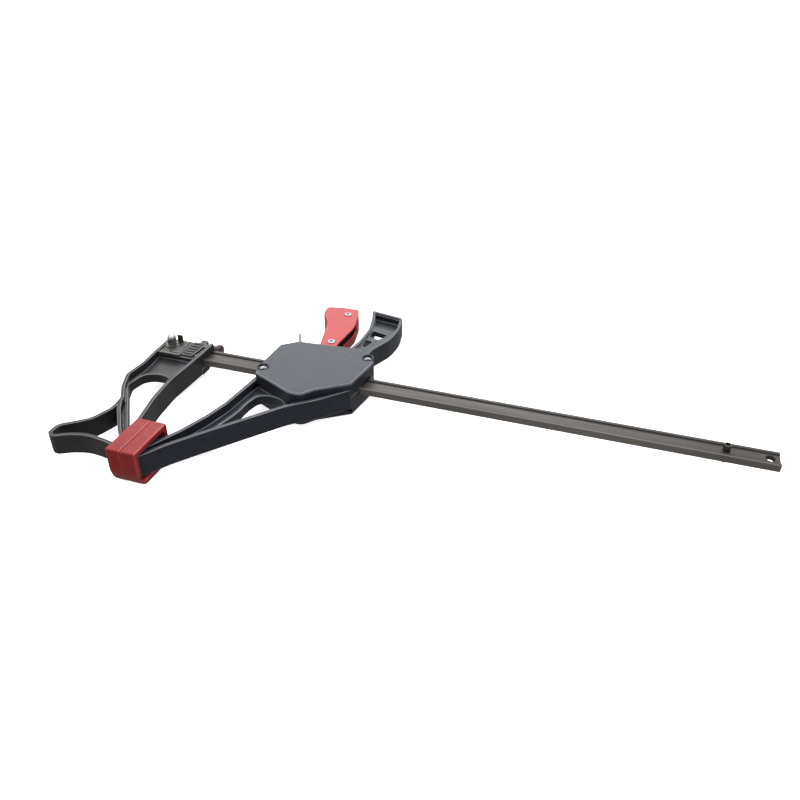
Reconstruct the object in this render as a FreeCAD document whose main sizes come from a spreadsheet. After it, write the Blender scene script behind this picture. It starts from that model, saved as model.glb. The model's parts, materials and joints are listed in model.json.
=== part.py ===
import FreeCAD, Part
import Sketcher
import math
import os

App = FreeCAD
Vector = App.Vector

# One-handed trigger bar clamp, lying flat with its jaws closed.  All sizes in millimetres.
# Working frame: X along the bar from the closed jaw face, Y across the bar from its centre line
# (the hand grip is on the +Y side, the jaws reach out on the -Y side), Z up from the mid-plane of
# the bar.  The finished pieces are moved together so that the origin is the bottom centre of the
# whole clamp.

doc = App.newDocument("TriggerBarClamp")
sheet = doc.addObject("Spreadsheet::Sheet", "Sizes")

SIZES = {
    # a cut deeper than any piece is thick
    "through": 60.0,
    # steel bar
    "bar_width": 19.0, "bar_thick": 6.9, "bar_start": -71.0, "bar_length": 560.6,
    "bar_flange": 3.4, "bar_groove": 1.3, "bar_edge_round": 0.6,
    "end_hole_x": 482.2, "end_hole_radius": 3.7,
    "stop_x": 448.6, "stop_radius": 3.0, "stop_height": 16.6, "stop_wall": 0.9,
    # fixed jaw
    "stud_x": -62.6, "stud_radius": 3.0, "stud_length": 20.0, "stud_hex": 5.0, "stud_hex_height": 3.0,
    "fixed_height": 21.0, "head_top": 6.0, "head_bottom": 8.5, "slot_clearance": 0.08,
    "plate_thick": 2.2, "washer_thick": 0.9, "washer_radius": 7.0, "tab_height": 8.0,
    "nut_hex_height": 6.2, "nut_radius": 4.6, "nut_dome_radius": 4.2,
    "lock_screw_y": 15.8, "lock_shank_radius": 2.8, "lock_barrel_radius": 4.2, "lock_head_radius": 6.0,
    "lock_shank_start": -46.0, "lock_barrel_start": -34.8, "lock_head_start": -23.4,
    "lock_head_length": 4.6, "lock_head_round": 1.6, "ear_height": 12.0, "lug_height": 6.0,
    "limb_step": 2.4, "step_rise": 0.6, "plate_bevel": 0.8,
    # both jaws
    "web_thick": 3.0, "flange_thick": 3.2, "bead_thick": 2.6, "bead_height": 9.0,
    "toe_height": 24.0, "pad_height": 34.7, "pad_thick": 13.3, "pad_far": -128.5,
    "pad_near": -173.5, "pad_bulge": 1.5, "pad_face": 4.0, "pad_gap": 0.12,
    # carriage
    "frame_height": 20.0, "housing_half": 16.3, "split_z": 2.0, "wall": 2.6,
    "cover_bevel": 1.0, "screw_recess_radius": 4.3, "screw_recess_depth": 2.2,
    "screw_shaft_radius": 1.9, "screw_head_radius": 3.7, "screw_head_height": 1.6,
    "post_radius": 5.2, "guide_clearance": 0.15, "guide_length": 7.0, "guide_wall": 2.0,
    "pin_radius": 2.5, "pin_fit": 0.05, "pin_boss_radius": 5.5,
    # handle
    "handle_wall": 3.0, "grip_web_top": 7.5,
    # trigger
    "pivot_x": 88.0, "pivot_y": -26.0, "cheek_inner": 4.2, "cheek_thick": 2.6,
    "grip_half": 9.2, "grip_skin": 2.0, "rivet_radius": 2.4, "rivet_head_radius": 4.0,
    # drive plates and release lever
    "plate_half_width": 8.5, "plate_half_length": 15.0, "drive_thick": 3.0, "drive_x": 90.6,
    "slot_gap": 0.5, "lever_thick": 2.8, "lever_half_width": 7.0, "lever_x": 52.0,
    "lever_foot_y": -15.6, "lever_bend_y": 45.5, "lever_tip_y": 64.5, "lever_lean": 8.6,
    "lever_tip_round": 3.0,
    # springs
    "drive_coil_radius": 11.6, "drive_wire": 1.5, "brake_coil_radius": 2.9, "brake_wire": 0.8,
}
for row, (name, number) in enumerate(SIZES.items(), start=1):
    sheet.set("A%d" % row, name)
    sheet.set("B%d" % row, "%g" % number)
    sheet.setAlias("B%d" % row, name)
doc.recompute()


def size(name):
    """A driving dimension, read back from the sheet."""
    return float(sheet.get(name))


parts = []


# ---------------------------------------------------------------- drawing helpers

def unit(vector):
    return vector * (1.0 / vector.Length)


def outline(points):
    """Edges of a closed outline of (x, y, corner radius) points."""
    corners = []
    count = len(points)
    for index, (x, y, radius) in enumerate(points):
        corner = Vector(x, y, 0)
        before = points[index - 1]
        after = points[(index + 1) % count]
        to_before = unit(Vector(before[0], before[1], 0) - corner)
        to_after = unit(Vector(after[0], after[1], 0) - corner)
        half = 0.5 * to_before.getAngle(to_after)
        if radius <= 0 or half > math.radians(89.8):
            corners.append((corner, None, corner))
            continue
        tangent = radius / math.tan(half)
        inward = unit(to_before + to_after)
        middle = corner + inward * (radius / math.sin(half) - radius)
        corners.append((corner + to_before * tangent, middle, corner + to_after * tangent))
    edges = []
    for index, (start, middle, end) in enumerate(corners):
        if middle is not None:
            edges.append(Part.Arc(start, middle, end))
        following = corners[(index + 1) % count][0]
        ahead = Vector(*points[(index + 1) % count][:2], 0) - Vector(*points[index][:2], 0)
        if (following - end).dot(ahead) < 0:
            raise ValueError("the roundings at corners %d and %d overlap" % (index, (index + 1) % count))
        if (following - end).Length > 1e-6:
            edges.append(Part.LineSegment(end, following))
    return edges


def shifted(points, distance, closed=True):
    """The same corners moved to the right of their path by a distance, radii following."""
    moved = []
    count = len(points)
    for index, (x, y, radius) in enumerate(points):
        corner = Vector(x, y, 0)
        before = Vector(*points[index - 1][:2], 0) if closed or index else None
        after = Vector(*points[(index + 1) % count][:2], 0) if closed or index < count - 1 else None
        into = unit(corner - before) if before else unit(after - corner)
        out = unit(after - corner) if after else into
        right_in = Vector(into.y, -into.x, 0)
        right_out = Vector(out.y, -out.x, 0)
        mitre = (right_in + right_out) * (1.0 / (1.0 + right_in.dot(right_out)))
        left_turn = into.cross(out).z > 0
        grown = radius + distance if left_turn else radius - distance
        place = corner + mitre * distance
        moved.append((place.x, place.y, max(grown, 0.0) if radius > 0 else 0.0))
    return moved


def band(path, thickness):
    """Outline of a strip of even thickness whose middle follows an open path."""
    half = 0.5 * thickness
    right = shifted(path, half, closed=False)
    left = shifted(path, -half, closed=False)
    return right + left[::-1]


def rectangle(x_low, y_low, x_high, y_high, radius=0.0):
    corners = [(x_low, y_low), (x_high, y_low), (x_high, y_high), (x_low, y_high)]
    return [(x, y, radius) for x, y in corners]


# ---------------------------------------------------------------- feature helpers

def new_body(label):
    body = doc.addObject("PartDesign::Body", label)
    body.Label = label
    parts.append(body)
    return body


def new_sketch(body, role, name, loops=(), circles=(), offset=None):
    """A sketch on an origin plane, with outlines and circles (x, y, radius cell or number)."""
    plane = [item for item in body.Origin.OriginFeatures if item.Role == role][0]
    sketch = body.newObject("Sketcher::SketchObject", name)
    sketch.AttachmentSupport = [(plane, "")]
    sketch.MapMode = "FlatFace"
    for points in loops:
        for edge in outline(points):
            sketch.addGeometry(edge, False)
    for x, y, radius in circles:
        number = size(radius) if isinstance(radius, str) else radius
        index = sketch.addGeometry(Part.Circle(Vector(x, y, 0), Vector(0, 0, 1), number), False)
        if isinstance(radius, str):
            datum = sketch.addConstraint(Sketcher.Constraint("Radius", index, number))
            sketch.setExpression("Constraints[%d]" % datum, "Sizes." + radius)
    if offset is not None:
        sketch.setExpression("AttachmentOffset.Base.z", offset)
    return sketch


def add_pad(body, name, length, role="XY_Plane", symmetric=True, **drawing):
    """A pad whose length is an expression in the sheet's sizes."""
    sketch = new_sketch(body, role, name + "_sketch", **drawing)
    pad = body.newObject("PartDesign::Pad", name)
    pad.Profile = sketch
    pad.SideType = "Symmetric" if symmetric else "One side"
    pad.setExpression("Length", length)
    return pad


def add_pocket(body, name, length, role="XY_Plane", symmetric=True, reverse=True, **drawing):
    """A pocket that has to take material away."""
    doc.recompute()
    before = body.Shape.Volume
    sketch = new_sketch(body, role, name + "_sketch", **drawing)
    pocket = body.newObject("PartDesign::Pocket", name)
    pocket.Profile = sketch
    pocket.SideType = "Symmetric" if symmetric else "One side"
    pocket.Reversed = reverse and not symmetric
    pocket.setExpression("Length", length)
    doc.recompute()
    if body.Shape.Volume > before - 0.01:
        raise RuntimeError("%s cuts nothing from %s: %s" % (name, body.Label, pocket.getStatusString()))
    return pocket


def round_edges(body, name, radius, chosen, kind="PartDesign::Fillet"):
    """Fillet or chamfer the edges of the body's present shape that a test picks."""
    doc.recompute()
    tip = body.Tip
    names = ["Edge%d" % (index + 1) for index, edge in enumerate(tip.Shape.Edges) if chosen(edge)]
    feature = body.newObject(kind, name)
    feature.Base = (tip, names)
    feature.setExpression("Radius" if kind.endswith("Fillet") else "Size", radius)
    return feature


def edge_at_height(z):
    """A test for edges that lie level at a height."""
    return lambda edge: all(abs(vertex.Z - z) < 1e-4 for vertex in edge.Vertexes)


def solid_feature(label, shape):
    feature = doc.addObject("Part::Feature", label)
    feature.Label = label
    feature.Shape = shape
    parts.append(feature)
    return feature


def coil(radius, wire, start, end, turns, centre_y=0.0):
    """A coil spring along X from start to end, made of tilted half circles that run into each other."""
    quarter = (end - start) / turns / 4
    side_reach = math.hypot(radius, quarter)
    arcs = []
    for half_turn in range(2 * turns):
        side = 1 if half_turn % 2 == 0 else -1
        x = start + 2 * half_turn * quarter
        arcs.append(Part.Arc(Vector(x, centre_y + side * radius, 0),
                             Vector(x + quarter, centre_y, side * side_reach),
                             Vector(x + 2 * quarter, centre_y - side * radius, 0)).toShape())
    first = Vector(start, centre_y + radius, 0)
    section = Part.Face(Part.Wire([Part.makeCircle(wire / 2, first, Vector(0, 0, 1))]))
    return Part.Wire(arcs).makePipe(section)


# ---------------------------------------------------------------- shared outlines

HALF_WIDTH = size("bar_width") / 2
HALF_THICK = size("bar_thick") / 2

# housing outline seen from above, anticlockwise from the left corner
HOUSING = [(43.6, -33.2, 3), (86.0, -54.0, 12), (97.0, -54.2, 9), (105.5, -43.0, 8),
           (132.9, -23.6, 1.5), (139.5, 18.6, 3), (118.5, 37.9, 4), (57.1, 32.7, 8),
           (43.2, 21.0, 5), (41.6, -9.5, 6)]
CAVITY = shifted(HOUSING, -size("wall"))
SCREW_PLACES = [(46.4, -21.8), (131.3, 23.6)]
PIVOT = (size("pivot_x"), size("pivot_y"))
LEFT_GUIDE_X = 42.0
RIGHT_GUIDE_X = 128.0
SPRING_SEAT = rectangle(68.0, 12.0, 70.6, 22.0)
FULCRUM_RIBS = [rectangle(47.6, -16.4, 50.3, -12.2), rectangle(53.7, -16.4, 56.4, -12.2)]

# the middle line of the left limb of the fixed jaw, which runs on into the finger loop
FIXED_LEFT = [(-71.0, 11.0, 0), (-70.0, -18.0, 60), (-68.2, -42.0, 50), (-70.6, -62.0, 14),
              (-62.5, -81.0, 25), (-51.6, -98.0, 14), (-50.0, -113.0, 25), (-56.6, -132.5, 20),
              (-66.0, -140.6, 40), (-76.9, -149.0, 8), (-76.9, -160.0, 3), (-71.8, -163.0, 5),
              (-60.5, -156.8, 25), (-46.5, -152.4, 40), (-30.0, -154.8, 40), (-8.0, -159.1, 0)]
FIXED_LOWER = [(-50.0, -103.0, 0), (-45.6, -111.6, 12), (-24.5, -140.5, 30), (-8.0, -154.5, 0)]
FIXED_RIGHT = [(-25.2, 11.0, 0), (-25.4, -15.0, 80), (-27.6, -60.0, 60), (-24.6, -92.0, 90),
               (-19.0, -118.0, 90), (-8.0, -162.0, 0)]
FIXED_WINDOW = [(-64.4, -72.0, 9), (-23.6, -131.5, 2.5), (-20.2, -128.0, 3), (-26.3, -95.0, 90),
                (-29.2, -68.0, 60), (-30.0, -55.0, 5), (-46.0, -44.6, 19), (-61.0, -53.5, 11)]
FIXED_WEB = [(-71.0, 8.0, 0), (-70.0, -18.0, 60), (-68.2, -42.0, 50), (-70.6, -62.0, 14),
             (-62.5, -81.0, 25), (-50.0, -103.0, 10), (-45.6, -111.6, 12), (-24.5, -140.5, 30),
             (-8.0, -154.5, 0), (-19.0, -118.0, 90), (-24.6, -92.0, 90),
             (-27.6, -60.0, 60), (-25.4, -15.0, 80), (-25.2, 8.0, 0)]

# the two limbs of the moving jaw, the window between them and the web that joins them
MOVING_LEFT = [(46.0, -22.0, 0), (41.8, -50.0, 80), (38.4, -78.0, 80), (32.4, -100.5, 60),
               (22.6, -126.0, 60), (8.0, -153.8, 0)]
MOVING_RIGHT = [(131.4, -23.4, 0), (110.0, -47.0, 60), (89.5, -63.6, 90), (61.0, -97.7, 300),
                (38.8, -124.4, 200), (22.0, -145.6, 100), (8.0, -167.0, 0)]
MOVING_WINDOW = [(44.2, -105.8, 3.4), (48.4, -109.4, 3), (86.4, -64.2, 6), (80.0, -52.4, 7),
                 (69.0, -47.0, 22), (55.0, -51.0, 9), (51.6, -66.0, 40), (51.0, -80.0, 60)]
MOVING_WEB = [(46.0, -22.0, 0), (41.8, -50.0, 80), (38.4, -78.0, 80), (32.4, -100.5, 60),
              (22.6, -126.0, 60), (8.0, -153.8, 0), (8.0, -167.0, 0), (22.0, -145.6, 100),
              (38.8, -124.4, 200), (61.0, -97.7, 300), (89.5, -63.6, 90), (110.0, -47.0, 60),
              (131.4, -23.4, 0)]

# the hand grip: outer outline, the two windows through its web, the deep pocket at its tip and the
# room under its web on the housing's side of that pocket
HANDLE = [(103.0, 33.0, 0), (124.5, 32.0, 0), (126.6, 50.0, 30), (136.4, 74.0, 45),
          (138.6, 98.0, 70), (134.4, 122.6, 5), (98.4, 129.4, 2), (104.6, 110.0, 80),
          (109.0, 88.0, 60), (108.4, 62.0, 60)]
HANDLE_WINDOWS = [
    [(112.6, 91.0, 2), (113.4, 78.2, 2), (124.4, 74.0, 2), (129.5, 86.5, 2)],
    [(112.2, 70.8, 1.5), (112.8, 58.5, 1.5), (116.4, 56.2, 1.5), (119.8, 69.5, 1.5)],
]
TIP_POCKET = [(110.4, 99.8, 1.5), (135.0, 94.2, 1.5), (135.5, 99.0, 12), (131.9, 120.0, 2.5),
              (102.8, 125.5, 1.5), (107.7, 111.0, 60)]
GRIP_UNDERSIDE = [(106.2, 36.0, 0), (121.7, 35.0, 0), (123.7, 50.5, 30), (133.4, 74.5, 40),
                  (135.2, 90.6, 2), (112.2, 96.0, 2), (112.0, 88.0, 57), (111.4, 62.0, 57)]

# the grip of the trigger, anticlockwise from its lower left
GRIP = [(76.0, 22.0, 2), (92.0, 22.0, 2), (90.2, 50.0, 40), (93.4, 88.0, 40),
        (88.8, 113.0, 30), (83.6, 127.4, 3), (66.0, 127.0, 30), (49.6, 123.6, 5),
        (51.4, 108.0, 14), (62.8, 90.0, 30), (68.4, 68.0, 60), (73.4, 46.0, 60)]


# ---------------------------------------------------------------- bar

def bar_section(grow=0.0):
    """Shallow I section of the bar, or with growth the plain rectangle of a slot for it."""
    if grow:
        return rectangle(-HALF_WIDTH - grow, -HALF_THICK - grow, HALF_WIDTH + grow, HALF_THICK + grow)
    flange = HALF_WIDTH - size("bar_flange")
    foot = flange - 0.7 * size("bar_groove")
    web = HALF_THICK - size("bar_groove")
    edge = size("bar_edge_round")
    half = [(HALF_WIDTH, -HALF_THICK, edge), (HALF_WIDTH, HALF_THICK, edge), (flange, HALF_THICK, 0),
            (foot, web, 0), (-foot, web, 0), (-flange, HALF_THICK, 0)]
    return half + [(-x, -y, radius) for x, y, radius in half]


def make_bar():
    bar = new_body("bar")
    add_pad(bar, "bar_pad", "Sizes.bar_length", role="YZ_Plane", symmetric=False,
            loops=[bar_section()], offset="Sizes.bar_start")
    add_pocket(bar, "bar_holes", "2 * Sizes.bar_thick",
               circles=[(size("end_hole_x"), 0, "end_hole_radius"), (size("stop_x"), 0, "stop_radius"),
                        (size("stud_x"), 0, "stud_radius")])


def make_stop_pin():
    """Rolled spring pin through the bar near its end."""
    pin = new_body("stop_pin")
    add_pad(pin, "roll", "Sizes.stop_height", circles=[(size("stop_x"), 0, "stop_radius")])
    bore = size("stop_radius") - size("stop_wall")
    slit = rectangle(size("stop_x") - 4, -0.35, size("stop_x"), 0.35)
    add_pocket(pin, "hollow", "2 * Sizes.stop_height", circles=[(size("stop_x"), 0, bore)])
    add_pocket(pin, "slit", "2 * Sizes.stop_height", loops=[slit])


# ---------------------------------------------------------------- fixed jaw

def make_fixed_jaw():
    jaw = new_body("fixed_jaw")
    add_pad(jaw, "web", "Sizes.web_thick", loops=[FIXED_WEB])
    add_pad(jaw, "left_limb_and_loop", "Sizes.fixed_height - Sizes.limb_step",
            loops=[band(FIXED_LEFT, size("flange_thick"))])
    add_pad(jaw, "lower_limb", "Sizes.fixed_height - Sizes.limb_step",
            loops=[band(FIXED_LOWER, size("flange_thick"))])
    add_pad(jaw, "right_limb", "Sizes.fixed_height", loops=[band(FIXED_RIGHT, size("flange_thick"))])
    add_pad(jaw, "window_bead", "Sizes.bead_height", loops=[shifted(FIXED_WINDOW, size("bead_thick"))])
    head = rectangle(-74.6, -15.6, -24.0, 11.6, 2.5)
    add_pad(jaw, "head", "Sizes.head_top + Sizes.head_bottom", symmetric=False, loops=[head],
            offset="-Sizes.head_bottom")
    block = [(-44.5, -14.5, 1), (-33.0, -14.5, 1), (-31.0, 10.6, 1), (-44.5, 10.6, 1)]
    add_pad(jaw, "serrated_step", "Sizes.plate_thick + Sizes.step_rise", symmetric=False, loops=[block],
            offset="Sizes.head_top")
    ear = rectangle(-42.0, 10.0, -35.0, 21.0, 1.5)
    add_pad(jaw, "lock_ear", "Sizes.ear_height", loops=[ear])
    add_pad(jaw, "lug", "Sizes.lug_height", symmetric=False, loops=[rectangle(-26.0, -14.5, -22.8, -2.5, 1)],
            offset="-Sizes.fixed_height / 2")
    add_pad(jaw, "toe", "Sizes.toe_height", loops=[rectangle(-9.0, -169.0, -4.2, -132.5, 1.5)])
    add_pocket(jaw, "window", "4 * Sizes.fixed_height", loops=[FIXED_WINDOW])
    add_pocket(jaw, "bar_slot", "Sizes.through", role="YZ_Plane", symmetric=False,
               loops=[bar_section(size("slot_clearance"))], offset="Sizes.bar_start - 0.4")
    add_pocket(jaw, "stud_hole", "Sizes.through", circles=[(size("stud_x"), 0, "stud_radius")])
    add_pocket(jaw, "washer_room", "Sizes.frame_height", symmetric=False, offset="Sizes.head_top",
               circles=[(size("stud_x"), 0, size("washer_radius") + 0.4)])
    add_pocket(jaw, "lock_hole", "Sizes.through / 2", role="YZ_Plane", symmetric=False,
               offset="-Sizes.through", circles=[(size("lock_screw_y"), 0, "lock_shank_radius")])


def make_head_plate():
    """Pressed plate that clamps the head on the bar, with a rolled front lip."""
    plate = new_body("head_plate")
    shape = [(-68.3, -16.2, 2), (-46.2, -16.2, 1.5), (-45.2, 11.0, 1.5), (-68.3, 11.0, 3)]
    add_pad(plate, "sheet", "Sizes.plate_thick", symmetric=False, loops=[shape], offset="Sizes.head_top")
    add_pocket(plate, "stud_hole", "Sizes.through", circles=[(size("stud_x"), 0, "stud_radius")])
    round_edges(plate, "soft_top", "Sizes.plate_bevel",
                edge_at_height(size("head_top") + size("plate_thick")), "PartDesign::Chamfer")


def make_head_stud():
    """Hexagon-headed bolt up through the head and the bar."""
    stud = new_body("head_stud")
    stud_bottom = "-Sizes.head_bottom"
    add_pad(stud, "shank", "Sizes.stud_length", symmetric=False, offset=stud_bottom,
            circles=[(size("stud_x"), 0, "stud_radius")])
    add_pad(stud, "hexagon", "Sizes.stud_hex_height", symmetric=False,
            offset="-Sizes.head_bottom - Sizes.stud_hex_height",
            loops=[polygon(size("stud_x"), 0, size("stud_hex"), 6)])


def polygon(x, y, radius, sides):
    """Corners of a regular polygon."""
    angles = [2 * math.pi * index / sides for index in range(sides)]
    return [(x + radius * math.cos(angle), y + radius * math.sin(angle), 0) for angle in angles]


def make_tab_washer():
    """Round lock washer with one ear bent up beside the nut."""
    washer = new_body("tab_washer")
    base = "Sizes.head_top + Sizes.plate_thick"
    add_pad(washer, "disc", "Sizes.washer_thick", symmetric=False, offset=base,
            circles=[(size("stud_x"), 0, "washer_radius")])
    ear = rectangle(size("stud_x") + 2.4, 5.6, size("stud_x") + 8.0, 7.4)
    add_pad(washer, "ear", "Sizes.tab_height", symmetric=False, offset=base, loops=[ear])
    add_pocket(washer, "hole", "Sizes.through", circles=[(size("stud_x"), 0, "stud_radius")])


def make_dome_nut():
    """Acorn nut: hexagon base with a domed cap, blind bore for the stud."""
    base = size("head_top") + size("plate_thick") + size("washer_thick")
    radius = size("nut_radius")
    corners = [Vector(x, y, base) for x, y, _ in polygon(size("stud_x"), 0, radius, 6)]
    face = Part.Face(Part.makePolygon(corners + corners[:1]))
    hexagon = face.extrude(Vector(0, 0, size("nut_hex_height")))
    dome = size("nut_dome_radius")
    centre = Vector(size("stud_x"), 0, base + size("nut_hex_height"))
    cap = Part.makeSphere(dome, centre, Vector(0, 0, 1), 0, 90, 360)
    stud_top = size("stud_length") - size("head_bottom")
    bore = Part.makeCylinder(size("stud_radius"), stud_top - base + 0.4, Vector(size("stud_x"), 0, base))
    solid_feature("dome_nut", hexagon.fuse(cap).cut(bore).removeSplitter())


def make_lock_screw():
    """Round-headed screw beside the bar, along it, held in the head's ear."""
    screw = new_body("lock_screw")
    y = size("lock_screw_y")
    head_end = size("lock_head_start") + size("lock_head_length")
    add_pad(screw, "shank", "Sizes.lock_head_start - Sizes.lock_shank_start", role="YZ_Plane",
            symmetric=False, offset="Sizes.lock_shank_start", circles=[(y, 0, "lock_shank_radius")])
    add_pad(screw, "barrel", "Sizes.lock_head_start - Sizes.lock_barrel_start", role="YZ_Plane",
            symmetric=False, offset="Sizes.lock_barrel_start", circles=[(y, 0, "lock_barrel_radius")])
    add_pad(screw, "head", "Sizes.lock_head_length", role="YZ_Plane", symmetric=False,
            offset="Sizes.lock_head_start", circles=[(y, 0, "lock_head_radius")])
    round_edges(screw, "round_head", "Sizes.lock_head_round",
                lambda edge: all(abs(vertex.X - head_end) < 1e-4 for vertex in edge.Vertexes))


# ---------------------------------------------------------------- pads

def make_pad(label, side):
    """Moulded boot for a jaw toe: a box open on the side away from the other jaw."""
    pad = new_body(label)
    near, far = size("pad_near"), size("pad_far")
    top = size("pad_height") / 2
    bulge = size("pad_bulge")
    profile = [(far, -top, 3), (near + 4, -top, 9), (near - bulge + 1, -4, 20), (near, top, 1.5), (far, top, 2)]
    if side > 0:
        start = "Sizes.pad_gap"
        hollow_start = "Sizes.pad_face"
    else:
        start = "-Sizes.pad_thick"
        hollow_start = "-Sizes.pad_thick - 1"
    add_pad(pad, "boot", "Sizes.pad_thick - Sizes.pad_gap", role="YZ_Plane", symmetric=False,
            loops=[profile], offset=start)
    toe = size("toe_height") / 2
    hollow = rectangle(-169.2, -toe - 0.2, -132.3, toe + 0.2, 0.0)
    add_pocket(pad, "hollow", "Sizes.pad_thick - Sizes.pad_face + 1", role="YZ_Plane", symmetric=False,
               loops=[hollow], offset=hollow_start)
    return pad


# ---------------------------------------------------------------- carriage

def make_jaw_housing():
    """Casting with the moving jaw, the lower half of the housing and the hand grip."""
    body = new_body("jaw_housing")
    add_pad(body, "web", "Sizes.web_thick", loops=[MOVING_WEB])
    add_pad(body, "left_limb", "Sizes.frame_height", loops=[band(MOVING_LEFT, size("flange_thick"))])
    add_pad(body, "right_limb", "Sizes.frame_height", loops=[band(MOVING_RIGHT, size("flange_thick"))])
    add_pad(body, "window_bead", "Sizes.bead_height", loops=[shifted(MOVING_WINDOW, size("bead_thick"))])
    add_pad(body, "toe", "Sizes.toe_height", loops=[rectangle(4.2, -169.0, 9.0, -132.5, 1.5)])
    add_pad(body, "grip", "Sizes.frame_height", loops=[HANDLE])
    grip_inner = shifted(HANDLE, -size("handle_wall"))
    add_pocket(body, "grip_top", "Sizes.frame_height", symmetric=False, loops=[grip_inner],
               offset="Sizes.grip_web_top")
    add_pocket(body, "grip_tip", "Sizes.frame_height", symmetric=False, loops=[TIP_POCKET],
               offset="Sizes.web_thick / 2")
    add_pocket(body, "grip_bottom", "Sizes.frame_height", symmetric=False, reverse=False,
               loops=[grip_inner], offset="-Sizes.web_thick / 2")
    add_pocket(body, "grip_underside", "Sizes.frame_height", symmetric=False, reverse=False,
               loops=[GRIP_UNDERSIDE], offset="Sizes.grip_web_top - Sizes.web_thick")
    add_pad(body, "shell", "Sizes.housing_half + Sizes.split_z", symmetric=False, loops=[HOUSING],
            offset="-Sizes.housing_half")
    for number, (x, y) in enumerate(SCREW_PLACES):
        add_pad(body, "boss_%d" % number, "Sizes.housing_half + Sizes.split_z", symmetric=False,
                circles=[(x, y, size("post_radius") + 0.4)], offset="-Sizes.housing_half")
    add_pocket(body, "window", "3 * Sizes.frame_height", loops=[MOVING_WINDOW])
    add_pocket(body, "grip_windows", "3 * Sizes.frame_height", loops=HANDLE_WINDOWS)
    add_pocket(body, "cover_room", "Sizes.frame_height", symmetric=False, loops=[HOUSING],
               offset="Sizes.split_z")
    add_pocket(body, "cavity", "Sizes.housing_half + Sizes.split_z", symmetric=False, loops=[CAVITY],
               offset="Sizes.wall - Sizes.housing_half")
    for number, (x, y) in enumerate(SCREW_PLACES):
        add_pad(body, "post_%d" % number, "Sizes.housing_half + Sizes.split_z", symmetric=False,
                circles=[(x, y, "post_radius")], offset="-Sizes.housing_half")
    add_pad(body, "pin_boss", "Sizes.housing_half - 7.6", symmetric=False,
            circles=[(PIVOT[0], PIVOT[1], "pin_boss_radius")], offset="-Sizes.housing_half")
    add_pad(body, "inner_ribs", "Sizes.housing_half + Sizes.split_z - 1", symmetric=False,
            loops=[SPRING_SEAT] + FULCRUM_RIBS, offset="1 - Sizes.housing_half")
    cut_passages(body)
    add_pocket(body, "screw_holes", "Sizes.through",
               circles=[(x, y, "screw_shaft_radius") for x, y in SCREW_PLACES])
    add_pocket(body, "pin_hole", "Sizes.housing_half", symmetric=False,
               circles=[(PIVOT[0], PIVOT[1], "pin_radius")], offset="Sizes.wall - Sizes.housing_half")


def cut_passages(body):
    """Ways through the housing for the bar guides, the trigger and the release lever."""
    guide = size("guide_wall") + size("guide_clearance")
    add_pocket(body, "bar_passage", "3 * Sizes.through", role="YZ_Plane", symmetric=False, offset="30",
               loops=[bar_section(guide)])
    trigger_slot = rectangle(71.0, 26.0, 101.5, 40.5)
    lever_slot = rectangle(47.0, 20.0, 60.5, 40.5)
    add_pocket(body, "trigger_slot", "2 * Sizes.grip_half + 1", loops=[trigger_slot])
    add_pocket(body, "lever_slot", "2 * Sizes.lever_half_width + 1", loops=[lever_slot])


def make_housing_cover():
    """Upper half shell, with the two screw recesses."""
    cover = new_body("housing_cover")
    height = "Sizes.housing_half - Sizes.split_z"
    add_pad(cover, "shell", height, symmetric=False, loops=[HOUSING], offset="Sizes.split_z")
    for number, (x, y) in enumerate(SCREW_PLACES):
        add_pad(cover, "boss_%d" % number, height, symmetric=False,
                circles=[(x, y, size("post_radius") + 0.4)], offset="Sizes.split_z")
    round_edges(cover, "top_bevel", "Sizes.cover_bevel", edge_at_height(size("housing_half")),
                "PartDesign::Chamfer")
    add_pocket(cover, "cavity", height + " - Sizes.wall", symmetric=False, loops=[CAVITY],
               offset="Sizes.split_z")
    for number, (x, y) in enumerate(SCREW_PLACES):
        add_pad(cover, "post_%d" % number, height + " - 1", symmetric=False,
                circles=[(x, y, "post_radius")], offset="Sizes.split_z")
    add_pad(cover, "pin_boss", "Sizes.housing_half - 8.6", symmetric=False,
            circles=[(PIVOT[0], PIVOT[1], "pin_boss_radius")], offset="7.6")
    cut_passages(cover)
    add_pocket(cover, "screw_holes", "Sizes.through",
               circles=[(x, y, "screw_shaft_radius") for x, y in SCREW_PLACES])
    add_pocket(cover, "screw_recesses", "Sizes.screw_recess_depth + 1", symmetric=False,
               circles=[(x, y, "screw_recess_radius") for x, y in SCREW_PLACES],
               offset="Sizes.housing_half - Sizes.screw_recess_depth")
    add_pocket(cover, "pin_hole", "Sizes.housing_half - Sizes.wall", symmetric=False,
               circles=[(PIVOT[0], PIVOT[1], "pin_radius")])


def make_housing_screws():
    """Two cross-recessed screws as one group of separate solids."""
    seat = size("housing_half") - size("screw_recess_depth")
    shaft_length = seat + size("housing_half") - 3.0
    screws = []
    for x, y in SCREW_PLACES:
        shaft = Part.makeCylinder(size("screw_shaft_radius"), shaft_length, Vector(x, y, seat - shaft_length))
        head = Part.makeCylinder(size("screw_head_radius"), size("screw_head_height"), Vector(x, y, seat))
        screw = shaft.fuse(head)
        for length, width in ((4.4, 0.9), (0.9, 4.4)):
            slot = Part.makeBox(length, width, 1.2, Vector(x - length / 2, y - width / 2,
                                                           seat + size("screw_head_height") - 1.0))
            screw = screw.cut(slot)
        screws.append(screw.removeSplitter())
    solid_feature("housing_screws", Part.makeCompound(screws))


def make_guide(label, start):
    """Slippery liner that the bar slides in, set in a wall of the housing."""
    guide = new_body(label)
    outer = size("guide_wall") + size("guide_clearance")
    add_pad(guide, "liner", "Sizes.guide_length", role="YZ_Plane", symmetric=False,
            loops=[bar_section(outer)], offset="%g" % start)
    add_pocket(guide, "way", "3 * Sizes.guide_length", role="YZ_Plane",
               loops=[bar_section(size("guide_clearance"))], offset="%g" % start)


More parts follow.
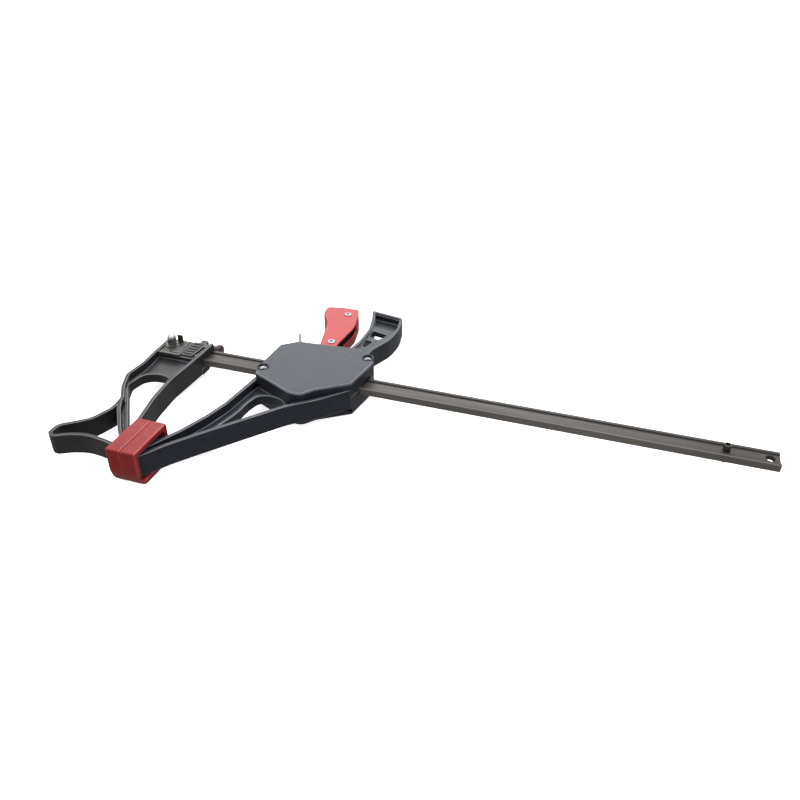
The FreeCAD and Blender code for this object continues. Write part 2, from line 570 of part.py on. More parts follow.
def make_trigger_pin():
    pin = new_body("trigger_pin")
    add_pad(pin, "pin", "2 * (Sizes.housing_half - Sizes.wall)", circles=[(PIVOT[0], PIVOT[1], "pin_radius")])


# ---------------------------------------------------------------- trigger

def make_trigger_core():
    """Forked lever: two cheeks that straddle the bar, joined by a block in the grip."""
    core = new_body("trigger_core")
    cheek = [(82.0, -25.0, 2), (82.0, -32.0, 5.9), (94.0, -32.0, 5.9), (94.0, -25.0, 1),
             (89.6, -17.0, 3), (90.2, 0.0, 8), (88.2, 14.0, 6), (87.2, 60.0, 30), (89.0, 88.0, 20),
             (83.0, 116.0, 6), (60.0, 116.0, 6), (67.5, 90.0, 20), (77.6, 46.0, 40), (80.0, 10.0, 20)]
    add_pad(core, "cheeks", "2 * (Sizes.cheek_inner + Sizes.cheek_thick)", loops=[cheek])
    gap = rectangle(70.0, -40.0, 110.0, 16.0)
    add_pocket(core, "fork_gap", "2 * Sizes.cheek_inner", loops=[gap])
    running_hole = size("pin_radius") + size("pin_fit")
    add_pocket(core, "pivot_hole", "Sizes.through", circles=[(PIVOT[0], PIVOT[1], running_hole)])
    add_pocket(core, "rivet_holes", "Sizes.through",
               circles=[(x, y, "rivet_radius") for x, y in RIVET_PLACES])


RIVET_PLACES = [(77.2, 112.9), (82.3, 53.3)]


def make_trigger_shell(label, side):
    """One moulded half of the trigger grip; side +1 is the upper half, -1 the lower."""
    shell = new_body(label)
    upper = side > 0
    inner = shifted(GRIP, -size("grip_skin"))
    add_pad(shell, "skin", "Sizes.grip_half", symmetric=False, loops=[GRIP],
            offset="0" if upper else "-Sizes.grip_half")
    add_pocket(shell, "hollow", "Sizes.grip_half - Sizes.grip_skin", symmetric=False, loops=[inner],
               offset="0" if upper else "Sizes.grip_skin - Sizes.grip_half")
    add_pocket(shell, "open_end", "2 * (Sizes.grip_half - Sizes.grip_skin)",
               loops=[rectangle(70.0, 15.0, 100.0, 26.0)])
    if upper:
        side_gap = rectangle(84.5, 20.0, 99.0, 98.0)
        add_pocket(shell, "side_gap", "2 * (Sizes.grip_half - Sizes.grip_skin)", loops=[side_gap])
    add_pocket(shell, "rivet_holes", "Sizes.through",
               circles=[(x, y, "rivet_radius") for x, y in RIVET_PLACES])


def make_trigger_rivets():
    """Two tubular rivets with rolled heads, as one group."""
    rivets = []
    reach = size("grip_half")
    for x, y in RIVET_PLACES:
        body = Part.makeCylinder(size("rivet_radius"), 2 * reach, Vector(x, y, -reach))
        for z in (-reach - 0.7, reach):
            body = body.fuse(Part.makeCylinder(size("rivet_head_radius"), 0.7, Vector(x, y, z)))
        bore = Part.makeCylinder(1.3, 2 * reach + 4, Vector(x, y, -reach - 2))
        rivets.append(body.cut(bore).removeSplitter())
    solid_feature("trigger_rivets", Part.makeCompound(rivets))


# ---------------------------------------------------------------- drive plates and release lever

def make_drive_plate(label, start):
    """Hardened plate with a slot that bites on the bar when it is pushed."""
    plate = new_body(label)
    half_length, half_width = size("plate_half_length"), size("plate_half_width")
    add_pad(plate, "blank", "Sizes.drive_thick", role="YZ_Plane", symmetric=False,
            loops=[rectangle(-half_length, -half_width, half_length, half_width, 2)],
            offset="%g" % start)
    add_pocket(plate, "slot", "4 * Sizes.drive_thick", role="YZ_Plane",
               loops=[bar_section(size("slot_gap"))], offset="%g" % start)


def make_release_lever():
    """Brake plate round the bar, drawn out into the bent tab of the release lever."""
    lever = new_body("release_lever")
    middle = size("lever_x")
    path = [(middle, size("lever_foot_y"), 0), (middle, size("lever_bend_y"), 5),
            (middle - size("lever_lean"), size("lever_tip_y"), 0)]
    add_pad(lever, "strip", "2 * Sizes.lever_half_width", loops=[band(path, size("lever_thick"))])
    slot = rectangle(-10.3, -HALF_THICK - 0.6, 10.3, HALF_THICK + 0.6)
    add_pocket(lever, "slot", "10 * Sizes.lever_thick", role="YZ_Plane", loops=[slot],
               offset="Sizes.lever_x")
    round_edges(lever, "round_tip", "Sizes.lever_tip_round", tip_corner)


def tip_corner(edge):
    """The two short edges at the free end of the release lever."""
    level = abs(edge.Vertexes[0].Z - edge.Vertexes[-1].Z) < 1e-6
    short = abs(edge.Length - size("lever_thick")) < 1e-3
    return level and short and all(vertex.Y > size("lever_tip_y") - 2 for vertex in edge.Vertexes)


def make_springs():
    half_wire = size("drive_wire") / 2
    drive_start = size("drive_x") + 2 * size("drive_thick") + half_wire + 0.1
    drive_end = RIGHT_GUIDE_X - half_wire - 0.1
    solid_feature("drive_spring", coil(size("drive_coil_radius"), size("drive_wire"), drive_start,
                                       drive_end, 6))
    half_wire = size("brake_wire") / 2
    brake_start = size("lever_x") + size("lever_thick") / 2 + half_wire + 0.1
    brake_end = SPRING_SEAT[0][0] - half_wire - 0.1
    brake_y = (SPRING_SEAT[0][1] + SPRING_SEAT[2][1]) / 2
    solid_feature("brake_spring", coil(size("brake_coil_radius"), size("brake_wire"), brake_start,
                                       brake_end, 7, centre_y=brake_y))


# ---------------------------------------------------------------- assembly

make_bar()
make_stop_pin()
make_fixed_jaw()
make_head_plate()
make_head_stud()
make_tab_washer()
make_dome_nut()
make_lock_screw()
make_pad("fixed_pad", -1)
make_pad("moving_pad", 1)
make_jaw_housing()
make_housing_cover()
make_housing_screws()
make_guide("left_bar_guide", LEFT_GUIDE_X)
make_guide("right_bar_guide", RIGHT_GUIDE_X)
make_trigger_pin()
make_trigger_core()
make_trigger_shell("trigger_upper_shell", 1)
make_trigger_shell("trigger_lower_shell", -1)
make_trigger_rivets()
make_drive_plate("drive_plate_left", size("drive_x"))
make_drive_plate("drive_plate_right", size("drive_x") + size("drive_thick"))
make_release_lever()
make_springs()
doc.recompute()

box = Part.makeCompound([part.Shape for part in parts]).BoundBox
origin = Vector((box.XMin + box.XMax) / 2, (box.YMin + box.YMax) / 2, box.ZMin)
for part in parts:
    part.Placement = App.Placement(-origin, App.Rotation()).multiply(part.Placement)
doc.recompute()

for item in doc.Objects:
    if "Invalid" in item.State or "Error" in item.State:
        raise RuntimeError("%s did not build: %s" % (item.Label, item.State))
for part in parts:
    if part.Shape.isNull() or not part.Shape.isValid():
        raise RuntimeError("%s has no valid shape" % part.Label)

os.makedirs("parts", exist_ok=True)
for part in parts:
    part.Shape.exportStep(os.path.join("parts", part.Label + ".step"))
print("origin in the working frame: %.3f %.3f %.3f" % tuple(origin))
print("size: %.2f x %.2f x %.2f mm, %d nodes" % (box.XLength, box.YLength, box.ZLength, len(parts)))
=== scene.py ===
import json
import math

import bmesh
import bpy
from mathutils import Matrix, Vector
from mathutils.bvhtree import BVHTree


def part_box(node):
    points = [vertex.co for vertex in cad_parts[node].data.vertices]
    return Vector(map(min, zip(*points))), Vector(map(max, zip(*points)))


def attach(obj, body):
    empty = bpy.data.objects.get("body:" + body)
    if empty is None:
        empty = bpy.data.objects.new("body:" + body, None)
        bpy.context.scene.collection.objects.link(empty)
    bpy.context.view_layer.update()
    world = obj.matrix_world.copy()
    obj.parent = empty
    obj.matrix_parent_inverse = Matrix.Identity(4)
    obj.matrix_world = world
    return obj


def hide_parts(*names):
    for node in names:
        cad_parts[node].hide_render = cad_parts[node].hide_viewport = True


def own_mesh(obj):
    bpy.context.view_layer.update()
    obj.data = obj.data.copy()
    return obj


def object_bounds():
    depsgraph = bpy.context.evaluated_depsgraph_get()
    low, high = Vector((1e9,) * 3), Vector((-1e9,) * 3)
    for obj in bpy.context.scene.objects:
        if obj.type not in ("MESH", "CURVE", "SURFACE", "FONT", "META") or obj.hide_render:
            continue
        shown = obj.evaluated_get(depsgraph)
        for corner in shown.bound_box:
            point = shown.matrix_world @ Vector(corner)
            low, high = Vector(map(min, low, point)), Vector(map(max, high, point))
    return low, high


# Looks of a one-handed trigger bar clamp lying on a pale floor.  Places are given in millimetres
# from the closed jaw face (x, along the bar), the bar's centre line (y) and its mid-plane (z), and
# are turned into the frame's metres by at().

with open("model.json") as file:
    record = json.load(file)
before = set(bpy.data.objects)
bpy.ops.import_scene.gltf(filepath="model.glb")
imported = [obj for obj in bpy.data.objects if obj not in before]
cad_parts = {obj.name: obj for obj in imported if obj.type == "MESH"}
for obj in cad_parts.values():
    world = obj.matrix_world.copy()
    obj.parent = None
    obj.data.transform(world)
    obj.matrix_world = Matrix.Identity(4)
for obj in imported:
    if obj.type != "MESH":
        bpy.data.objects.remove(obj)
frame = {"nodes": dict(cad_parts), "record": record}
cad_low, cad_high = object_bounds()

MM = 0.001
bar_low, bar_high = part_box("bar")
SEAM = Vector(((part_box("fixed_pad")[1].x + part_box("moving_pad")[0].x) / 2,
               (bar_low.y + bar_high.y) / 2, (bar_low.z + bar_high.z) / 2))


def at(x, y, z):
    """A place in the frame, from millimetres off the closed jaw face, centre line and mid-plane."""
    return SEAM + Vector((x, y, z)) * MM


# ---------------------------------------------------------------- materials

# noise rarely leaves this part of its range from 0 to 1
NOISE_LOW, NOISE_HIGH = 0.3, 0.7


def add_node(tree, kind, **values):
    """A shader node, with its inputs or its settings given by name."""
    node = tree.nodes.new(kind)
    for name, value in values.items():
        if name in node.inputs:
            node.inputs[name].default_value = value
        else:
            setattr(node, name, value)
    return node


def noise_of(tree, scale, stretch=(1, 1, 1), detail=4.0):
    """Noise that lies still on the part, stretched along an axis for drawn or rolled metal."""
    where = add_node(tree, "ShaderNodeTexCoord")
    mapping = add_node(tree, "ShaderNodeMapping")
    mapping.inputs["Scale"].default_value = stretch
    noise = add_node(tree, "ShaderNodeTexNoise", Scale=scale, Detail=detail, Roughness=0.55)
    tree.links.new(where.outputs["Object"], mapping.inputs["Vector"])
    tree.links.new(mapping.outputs["Vector"], noise.inputs["Vector"])
    return noise.outputs["Fac"]


def ramp_of(tree, factor, dark, light):
    """A colour that goes from dark to light with a noise factor."""
    ramp = add_node(tree, "ShaderNodeValToRGB")
    ramp.color_ramp.elements[0].position = NOISE_LOW
    ramp.color_ramp.elements[0].color = (*dark, 1)
    ramp.color_ramp.elements[1].position = NOISE_HIGH
    ramp.color_ramp.elements[1].color = (*light, 1)
    tree.links.new(factor, ramp.inputs["Fac"])
    return ramp.outputs["Color"]


def range_of(tree, factor, low, high):
    """A number that goes from low to high with a noise factor."""
    spread = add_node(tree, "ShaderNodeMapRange")
    spread.inputs["From Min"].default_value = NOISE_LOW
    spread.inputs["From Max"].default_value = NOISE_HIGH
    spread.inputs["To Min"].default_value = low
    spread.inputs["To Max"].default_value = high
    tree.links.new(factor, spread.inputs["Value"])
    return spread.outputs["Result"]


def worn(tree, colour, bright, amount):
    """Lightens convex edges a little, broken up by noise, as handling does."""
    geometry = add_node(tree, "ShaderNodeNewGeometry")
    edge = add_node(tree, "ShaderNodeMapRange")
    edge.inputs["From Min"].default_value = 0.52
    edge.inputs["From Max"].default_value = 0.62
    tree.links.new(geometry.outputs["Pointiness"], edge.inputs["Value"])
    patchy = add_node(tree, "ShaderNodeMath", operation="MULTIPLY")
    tree.links.new(edge.outputs["Result"], patchy.inputs[0])
    tree.links.new(range_of(tree, noise_of(tree, 260, detail=6), 0.0, amount), patchy.inputs[1])
    mix = add_node(tree, "ShaderNodeMix", data_type="RGBA")
    tree.links.new(patchy.outputs["Value"], mix.inputs["Factor"])
    tree.links.new(colour, mix.inputs["A"])
    mix.inputs["B"].default_value = (*bright, 1)
    return mix.outputs["Result"]


def paint_shade_and_highlight_bands(tree, colour, bands):
    """Multiplies a colour in bands along the bar, given as (mm from the bar's centre line, factor): painted
    shade where the factor is below 1 and a painted highlight where it is above.
    """
    where = add_node(tree, "ShaderNodeTexCoord")
    parts = add_node(tree, "ShaderNodeSeparateXYZ")
    across = add_node(tree, "ShaderNodeMath", operation="SUBTRACT")
    across.inputs[1].default_value = SEAM.y
    distance = add_node(tree, "ShaderNodeMath", operation="ABSOLUTE")
    reach = add_node(tree, "ShaderNodeMath", operation="DIVIDE")
    reach.inputs[1].default_value = BAND_REACH * MM
    tree.links.new(where.outputs["Object"], parts.inputs["Vector"])
    tree.links.new(parts.outputs["Y"], across.inputs[0])
    tree.links.new(across.outputs["Value"], distance.inputs[0])
    tree.links.new(distance.outputs["Value"], reach.inputs[0])
    share = add_node(tree, "ShaderNodeValToRGB")
    stops = share.color_ramp.elements
    for number, (place, amount) in enumerate(bands):
        stop = stops[number] if number < 2 else stops.new(place / BAND_REACH)
        stop.position = place / BAND_REACH
        stop.color = (amount, amount, amount, 1)
    tree.links.new(reach.outputs["Value"], share.inputs["Fac"])
    mix = add_node(tree, "ShaderNodeMix", data_type="RGBA", blend_type="MULTIPLY")
    mix.inputs["Factor"].default_value = 1.0
    tree.links.new(colour, mix.inputs["A"])
    tree.links.new(share.outputs["Color"], mix.inputs["B"])
    return mix.outputs["Result"]


def finish(name, dark, light, rough, metallic=0.0, blotch=45, grain=1500, grain_depth=0.02,
           stretch=(1, 1, 1), specular=0.5, tint=(1, 1, 1), wear=None, shade_and_highlight_bands=None):
    """A surface with uneven colour, uneven gloss and a fine grain of the given depth in mm."""
    material = bpy.data.materials.new(name)
    material.use_nodes = True
    tree = material.node_tree
    shader = tree.nodes["Principled BSDF"]
    shader.inputs["Metallic"].default_value = metallic
    shader.inputs["Specular IOR Level"].default_value = specular
    shader.inputs["Specular Tint"].default_value = (*tint, 1)
    colour = ramp_of(tree, noise_of(tree, blotch, stretch), dark, light)
    # painted shade and painted highlight in bands along the bar
    if shade_and_highlight_bands:
        colour = paint_shade_and_highlight_bands(tree, colour, shade_and_highlight_bands)
    if wear:
        colour = worn(tree, colour, *wear)
    tree.links.new(colour, shader.inputs["Base Color"])
    gloss = noise_of(tree, blotch * 2.7, stretch, detail=6)
    tree.links.new(range_of(tree, gloss, *rough), shader.inputs["Roughness"])
    bump = add_node(tree, "ShaderNodeBump")
    bump.inputs["Strength"].default_value = 1.0
    bump.inputs["Distance"].default_value = grain_depth * MM
    tree.links.new(noise_of(tree, grain, stretch, detail=3), bump.inputs["Height"])
    tree.links.new(bump.outputs["Normal"], shader.inputs["Normal"])
    return material


ALONG_BAR = (0.06, 1, 1)
COOL = (0.80, 0.88, 1.0)
# painted shade darkens the corners of the bar's groove, and a painted highlight brightens the bar's outer
# edges
BAND_REACH = 10.0
BAR_SHADE_AND_HIGHLIGHT = ((4.2, 1.0), (5.0, 0.25), (6.0, 0.2), (6.4, 0.7), (8.6, 0.9), (9.3, 2.4))

FINISHES = {
    "black_casting": finish("black_casting", (0.011, 0.0105, 0.012), (0.018, 0.017, 0.019), (0.36, 0.48),
                            blotch=170, grain=1900, grain_depth=0.030, specular=0.34),
    "housing_black": finish("housing_black", (0.0095, 0.0105, 0.0145), (0.015, 0.0165, 0.0215), (0.38, 0.46),
                            blotch=190, grain=2300, grain_depth=0.018, specular=0.38, tint=COOL),
    "black_steel": finish("black_steel", (0.022, 0.021, 0.021), (0.042, 0.040, 0.039), (0.34, 0.50),
                          metallic=0.3, blotch=150, grain=1300, grain_depth=0.030, specular=0.4),
    "black_screw": finish("black_screw", (0.030, 0.022, 0.021), (0.070, 0.050, 0.045), (0.30, 0.46),
                          metallic=0.4, grain=1100, grain_depth=0.025, wear=((0.28, 0.22, 0.20), 0.6)),
    # the bar's finish carries painted shade in its groove corners and a painted highlight on its outer edges
    "bar_steel": finish("bar_steel", (0.040, 0.036, 0.033), (0.068, 0.062, 0.056), (0.36, 0.54),
                        metallic=0.5, blotch=90, grain=1400, grain_depth=0.016, stretch=ALONG_BAR,
                        specular=0.4, shade_and_highlight_bands=BAR_SHADE_AND_HIGHLIGHT),
    "pin_steel": finish("pin_steel", (0.06, 0.057, 0.052), (0.13, 0.124, 0.11), (0.28, 0.42),
                        metallic=0.9, grain=1600, grain_depth=0.010, wear=((0.50, 0.50, 0.50), 0.8)),
    "olive_steel": finish("olive_steel", (0.045, 0.046, 0.034), (0.095, 0.095, 0.070), (0.28, 0.45),
                          metallic=0.7, grain=1200, grain_depth=0.020, wear=((0.35, 0.35, 0.30), 0.6)),
    "zinc_steel": finish("zinc_steel", (0.22, 0.22, 0.225), (0.36, 0.36, 0.365), (0.24, 0.36),
                         metallic=0.95, grain=1500, grain_depth=0.008),
    "chrome_nut": finish("chrome_nut", (0.34, 0.34, 0.35), (0.44, 0.44, 0.45), (0.08, 0.16),
                         metallic=1.0, grain=900, grain_depth=0.003),
    "red_pad": finish("red_pad", (0.165, 0.0040, 0.0050), (0.205, 0.0065, 0.0075), (0.36, 0.48),
                      blotch=120, grain=1700, grain_depth=0.020, specular=0.3),
    "red_grip": finish("red_grip", (0.300, 0.011, 0.014), (0.335, 0.014, 0.017), (0.34, 0.42),
                       blotch=120, grain=2100, grain_depth=0.006, specular=0.3),
    "guide_nylon": finish("guide_nylon", (0.016, 0.016, 0.017), (0.028, 0.028, 0.030), (0.38, 0.50),
                          grain=1500, grain_depth=0.010),
    "spring_steel": finish("spring_steel", (0.24, 0.24, 0.25), (0.40, 0.40, 0.41), (0.20, 0.34),
                           metallic=1.0, grain=2500, grain_depth=0.006),
    "plate_steel": finish("plate_steel", (0.22, 0.21, 0.20), (0.36, 0.35, 0.33), (0.26, 0.42),
                          metallic=1.0, grain=1300, grain_depth=0.012),
    "lever_steel": finish("lever_steel", (0.10, 0.097, 0.090), (0.17, 0.164, 0.15), (0.30, 0.46),
                          metallic=0.8, grain=1300, grain_depth=0.015, wear=((0.4, 0.4, 0.38), 0.5)),
}

# painted highlight: the lighter finish that a slot's rounded edges take
EDGE_HIGHLIGHT_FINISHES = {
    "black_casting": finish("black_casting_edge_highlight", (0.060, 0.059, 0.062), (0.130, 0.127, 0.133), (0.28, 0.40)),
    "housing_black": finish("housing_black_edge_highlight", (0.065, 0.068, 0.078), (0.130, 0.136, 0.152), (0.28, 0.40)),
    "red_pad": finish("red_pad_edge_highlight", (0.230, 0.014, 0.016), (0.300, 0.028, 0.030), (0.30, 0.42)),
    "black_steel": finish("black_steel_edge_highlight", (0.070, 0.068, 0.066), (0.150, 0.145, 0.140), (0.30, 0.42),
                          metallic=0.4),
}
# painted shade for the inside of hollow rivets' bores
BORE_SHADE = finish("painted_bore_shade", (0.006, 0.006, 0.006), (0.012, 0.011, 0.011), (0.55, 0.70), specular=0.2)

SLOT_OF = {part["node"]: part["material_slot"] for part in frame["record"]["subparts"]}
BODY_OF = {node: body for body, nodes in frame["record"]["behaviour"]["bodies"].items() for node in nodes}


# ---------------------------------------------------------------- mesh helpers

# corners closer than this, in millimetres, are one corner
WELD = 0.002
# edges that turn by less than this, in degrees, belong to a curve and stay as they are
SHARP_ANGLE = 32
LATHE_STEPS = 48


def new_piece(name, mesh, body, slot, stands_for=()):
    """An object of the mesh, finished and riding on its body."""
    piece = bpy.data.objects.new(name, mesh)
    bpy.context.scene.collection.objects.link(piece)
    mesh.materials.clear()
    mesh.materials.append(FINISHES[slot])
    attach(piece, body)
    if stands_for:
        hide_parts(*stands_for)
    return piece


def soften(piece, slot, width, segments=3):
    """Rounds every sharp edge of a piece by a width in millimetres, and gives the rounded edges of some slots
    a painted highlight.
    """
    bevel = piece.modifiers.new("edge_round", "BEVEL")
    bevel.width = width * MM
    bevel.segments = segments
    bevel.limit_method = "ANGLE"
    bevel.angle_limit = math.radians(SHARP_ANGLE)
    bevel.use_clamp_overlap = False
    bevel.loop_slide = False
    bevel.harden_normals = True
    bevel.miter_outer = "MITER_ARC"
    # the rounded edges of these slots get a lighter finish, a painted highlight
    if slot in EDGE_HIGHLIGHT_FINISHES:
        piece.data.materials.append(EDGE_HIGHLIGHT_FINISHES[slot])
        bevel.material = 1
    for polygon in piece.data.polygons:
        polygon.use_smooth = True
    settle(piece, width * MM)
    return piece


def settle(piece, limit):
    """Makes the rounding part of the mesh, and lays corners that stray past the limit on the shape."""
    sharp = piece.data
    surface = BVHTree.FromPolygons([vertex.co.copy() for vertex in sharp.vertices],
                                   [tuple(polygon.vertices) for polygon in sharp.polygons])
    graph = bpy.context.evaluated_depsgraph_get()
    rounded = bpy.data.meshes.new_from_object(piece.evaluated_get(graph), depsgraph=graph)
    for vertex in rounded.vertices:
        nearest, _, _, gap = surface.find_nearest(vertex.co)
        if gap > limit:
            vertex.co = nearest
    piece.modifiers.clear()
    piece.data = rounded


def welded_copy(node):
    """The CAD node's faces as one clean mesh with shared corners."""
    mesh = frame["nodes"][node].data.copy()
    mesh.name = node + "_mesh"
    shell = bmesh.new()
    shell.from_mesh(mesh)
    bmesh.ops.remove_doubles(shell, verts=shell.verts, dist=WELD * MM)
    bmesh.ops.dissolve_degenerate(shell, edges=shell.edges, dist=WELD * MM)
    shell.normal_update()
    bmesh.ops.recalc_face_normals(shell, faces=shell.faces)
    shell.to_mesh(mesh)
    shell.free()
    if "custom_normal" in mesh.attributes:
        mesh.attributes.remove(mesh.attributes["custom_normal"])
    return mesh


def refined(node, edge_round):
    """The node's own shape with its edges rounded as casting, moulding or stamping leaves them."""
    slot = SLOT_OF[node]
    piece = new_piece(node + "_finished", welded_copy(node), BODY_OF[node], slot, (node,))
    return soften(piece, slot, edge_round)


def lathed(name, profile, centre, body, slot, stands_for=()):
    """A turned piece about a vertical axis; the profile is (radius, height) pairs in millimetres."""
    shell = bmesh.new()
    rings = []
    for radius, height in profile:
        ring = []
        for step in range(LATHE_STEPS):
            angle = 2 * math.pi * step / LATHE_STEPS
            spot = at(centre[0] + radius * math.cos(angle), centre[1] + radius * math.sin(angle), height)
            ring.append(shell.verts.new(spot))
        rings.append(ring)
    for lower, upper in zip(rings, rings[1:] + rings[:1]):
        for step in range(LATHE_STEPS):
            following = (step + 1) % LATHE_STEPS
            shell.faces.new((lower[step], lower[following], upper[following], upper[step]))
    bmesh.ops.recalc_face_normals(shell, faces=shell.faces)
    mesh = bpy.data.meshes.new(name + "_mesh")
    shell.to_mesh(mesh)
    shell.free()
    for polygon in mesh.polygons:
        polygon.use_smooth = True
    return new_piece(name, mesh, body, slot, stands_for)


def block(name, low, high, body, slot, edge_round, taper=0.0):
    """A small cast block between two corners in millimetres, its top drawn in by the taper."""
    shell = bmesh.new()
    corners = []
    for z, inset in ((low[2], 0.0), (high[2], taper)):
        for x, y in ((low[0] + inset, low[1] + inset), (high[0] - inset, low[1] + inset),
                     (high[0] - inset, high[1] - inset), (low[0] + inset, high[1] - inset)):
            corners.append(shell.verts.new(at(x, y, z)))
    for face in ((3, 2, 1, 0), (4, 5, 6, 7), (0, 1, 5, 4), (1, 2, 6, 5), (2, 3, 7, 6), (3, 0, 4, 7)):
        shell.faces.new([corners[index] for index in face])
    mesh = bpy.data.meshes.new(name + "_mesh")
    shell.to_mesh(mesh)
    shell.free()
    return soften(new_piece(name, mesh, body, slot), slot, edge_round, segments=2)


def paint_shade_in_bores(piece, centres, radius):
    """Gives the faces inside round bores of a radius in millimetres a near-black painted shade."""
    piece.data.materials.append(BORE_SHADE)
    for polygon in piece.data.polygons:
        spot = (polygon.center - SEAM) / MM
        if any(math.hypot(spot.x - x, spot.y - y) < radius for x, y in centres):
            polygon.material_index = len(piece.data.materials) - 1


# ---------------------------------------------------------------- the clamp

# how far each node's edges are rounded, in millimetres
EDGE_ROUNDS = {
    "bar": 0.45, "stop_pin": 0.25, "fixed_jaw": 0.6, "head_plate": 0.5, "head_stud": 0.3,
    "tab_washer": 0.25, "dome_nut": 0.35, "lock_screw": 0.5, "jaw_housing": 0.6, "housing_cover": 0.5,
    "trigger_core": 0.4, "trigger_upper_shell": 0.9, "trigger_lower_shell": 0.9,
    "trigger_rivets": 0.2, "release_lever": 0.5, "fixed_pad": 1.4, "moving_pad": 1.4,
}
pieces = {node: refined(node, edge_round) for node, edge_round in EDGE_ROUNDS.items()}
for node, piece in frame["nodes"].items():
    if node not in EDGE_ROUNDS:
        piece.data.materials.clear()
        piece.data.materials.append(FINISHES[SLOT_OF[node]])


# places of the housing's screws and of the trigger's rivets, and the radius inside the rivets' bores
SCREWS = ((46.4, -21.8), (131.3, 23.6))
RIVETS = ((77.2, 112.9), (82.3, 53.3))
RIVET_BORE = 1.5


def make_screws():
    """Dished screw heads deep in their recesses, with a raised rim round each recess."""
    head = [(0.7, -12.7), (1.9, -12.7), (1.9, 14.1), (3.6, 14.1), (3.6, 14.5), (3.1, 15.0), (2.5, 15.3),
            (1.9, 15.2), (1.5, 14.8), (0.7, 14.3)]
    rim = [(4.35, 15.6), (4.35, 16.6), (4.7, 16.9), (5.4, 16.9), (5.8, 16.6), (5.9, 15.6)]
    for number, centre in enumerate(SCREWS):
        stands_for = ("housing_screws",) if number == 0 else ()
        lathed("housing_screw_%d" % number, head, centre, "carriage", "zinc_steel", stands_for)
        lathed("recess_rim_%d" % number, rim, centre, "carriage", "housing_black")


def make_rivet_rings():
    """Rolled rivet heads standing on the trigger grip."""
    ring = [(1.3, 9.0), (1.3, 9.9), (1.7, 10.3), (2.6, 10.35), (3.5, 10.1), (4.0, 9.6), (4.0, 9.0)]
    for number, centre in enumerate(RIVETS):
        lathed("rivet_head_%d" % number, ring, centre, "trigger", "zinc_steel")


def make_head_details():
    """Serrations, rolled lip and cast bumps on top of the fixed jaw's head."""
    body = "bar_and_fixed_jaw"
    first, pitch, width = -12.5, 4.6, 2.6
    for number in range(5):
        y = first + pitch * number
        low, high = (-43.6, y, 8.4), (-33.6, y + width, 9.9)
        block("serration_%d" % number, low, high, body, "black_casting", 0.4, 0.5)
    block("rolled_lip", (-68.0, -17.4, 5.4), (-46.4, -14.8, 9.3), body, "black_steel", 1.0)
    block("plate_step", (-56.0, -13.6, 8.0), (-47.4, 9.2, 9.2), body, "black_steel", 0.5, 0.6)
    block("head_bump_far", (-32.0, 3.6, 5.6), (-24.6, 10.4, 9.4), body, "black_casting", 0.9, 0.8)
    block("head_bump_near", (-32.0, -14.0, 5.6), (-26.6, -8.6, 8.6), body, "black_casting", 0.9, 0.8)


def make_spring(node):
    """A copy of the coil's mesh that rides on its body in place of the node."""
    mesh = frame["nodes"][node].data.copy()
    mesh.name = node + "_coil_mesh"
    coil = new_piece(node + "_coil", mesh, BODY_OF[node], SLOT_OF[node], (node,))
    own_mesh(coil)


make_screws()
make_rivet_rings()
make_spring("drive_spring")
make_spring("brake_spring")
make_head_details()
# painted shade inside the trigger rivets' bores
paint_shade_in_bores(pieces["trigger_rivets"], RIVETS, RIVET_BORE)


# ---------------------------------------------------------------- floor, light and camera

FLOOR_HALF = 12.0


def make_floor():
    """A wide pale floor under the clamp, which glows a little so that shadows stay faint."""
    mesh = bpy.data.meshes.new("floor_mesh")
    floor = bmesh.new()
    bmesh.ops.create_grid(floor, x_segments=1, y_segments=1, size=FLOOR_HALF)
    floor.to_mesh(mesh)
    floor.free()
    stage = bpy.data.objects.new("floor", mesh)
    stage.location = (0, 0, cad_low.z)
    bpy.context.scene.collection.objects.link(stage)
    material = bpy.data.materials.new("pale_floor")
    material.use_nodes = True
    shader = material.node_tree.nodes["Principled BSDF"]
    shader.inputs["Base Color"].default_value = (0.80, 0.80, 0.805, 1)
    shader.inputs["Roughness"].default_value = 0.9
    shader.inputs["Specular IOR Level"].default_value = 0.1
    shader.inputs["Emission Color"].default_value = (1.0, 1.0, 1.0, 1)
    shader.inputs["Emission Strength"].default_value = 0.75
    mesh.materials.append(material)
    stage.visible_diffuse = False
    stage.visible_glossy = False


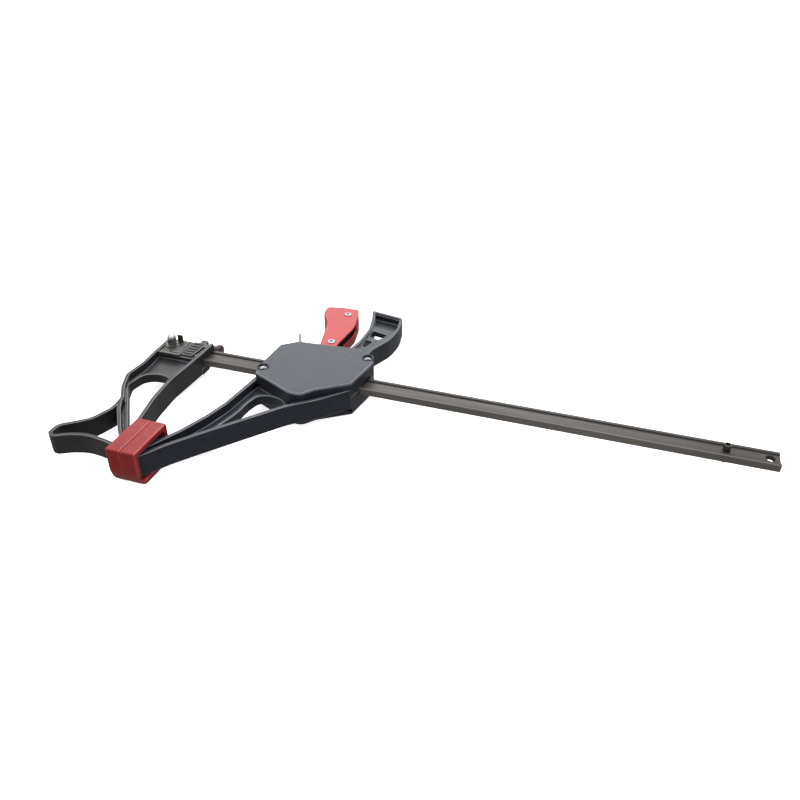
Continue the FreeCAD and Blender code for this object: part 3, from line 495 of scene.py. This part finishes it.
def make_softbox(name, spot, target, size, power):
    """A rectangular lamp of a size in metres and a power in watts, turned to its target."""
    data = bpy.data.lights.new(name, "AREA")
    data.shape = "RECTANGLE"
    data.size, data.size_y = size
    data.energy = power
    lamp = bpy.data.objects.new(name, data)
    lamp.location = spot
    lamp.rotation_mode = "QUATERNION"
    lamp.rotation_quaternion = (target - Vector(spot)).to_track_quat("-Z", "Y")
    bpy.context.scene.collection.objects.link(lamp)


def make_lights():
    """A white room that is brightest overhead, with three large soft boxes."""
    world = bpy.data.worlds.new("white_room")
    world.use_nodes = True
    tree = world.node_tree
    background = tree.nodes["Background"]
    background.inputs["Color"].default_value = (1.0, 1.0, 1.0, 1)
    where = add_node(tree, "ShaderNodeTexCoord")
    parts = add_node(tree, "ShaderNodeSeparateXYZ")
    height = add_node(tree, "ShaderNodeMapRange")
    height.inputs["From Min"].default_value = -0.1
    height.inputs["From Max"].default_value = 1.0
    height.inputs["To Min"].default_value = 0.38
    height.inputs["To Max"].default_value = 1.9
    tree.links.new(where.outputs["Generated"], parts.inputs["Vector"])
    tree.links.new(parts.outputs["Z"], height.inputs["Value"])
    tree.links.new(height.outputs["Result"], background.inputs["Strength"])
    bpy.context.scene.world = world
    middle = (cad_low + cad_high) / 2
    make_softbox("overhead_softbox", (-0.1, 0.45, 2.0), middle, (2.4, 1.8), 26)
    make_softbox("rear_softbox", (-0.7, 2.1, 1.5), middle, (2.2, 1.2), 26)
    make_softbox("side_softbox", (-1.6, -0.5, 1.3), middle, (1.2, 1.2), 4)


def make_camera():
    """Looks down across the clamp from in front of the jaws."""
    data = bpy.data.cameras.new("camera")
    data.sensor_width = 36.0
    data.lens = 33.79
    camera = bpy.data.objects.new("camera", data)
    bpy.context.scene.collection.objects.link(camera)
    right = Vector((0.9521, 0.3056, 0.0098)).normalized()
    backwards = Vector((0.2498, -0.7959, 0.5514)).normalized()
    up = backwards.cross(right).normalized()
    turn = Matrix((right, up, backwards)).transposed()
    camera.matrix_world = Matrix.Translation(at(341.53, -544.42, 369.47)) @ turn.to_4x4()
    bpy.context.scene.camera = camera


make_floor()
make_lights()
make_camera()
bpy.context.scene.view_settings.view_transform = "Standard"
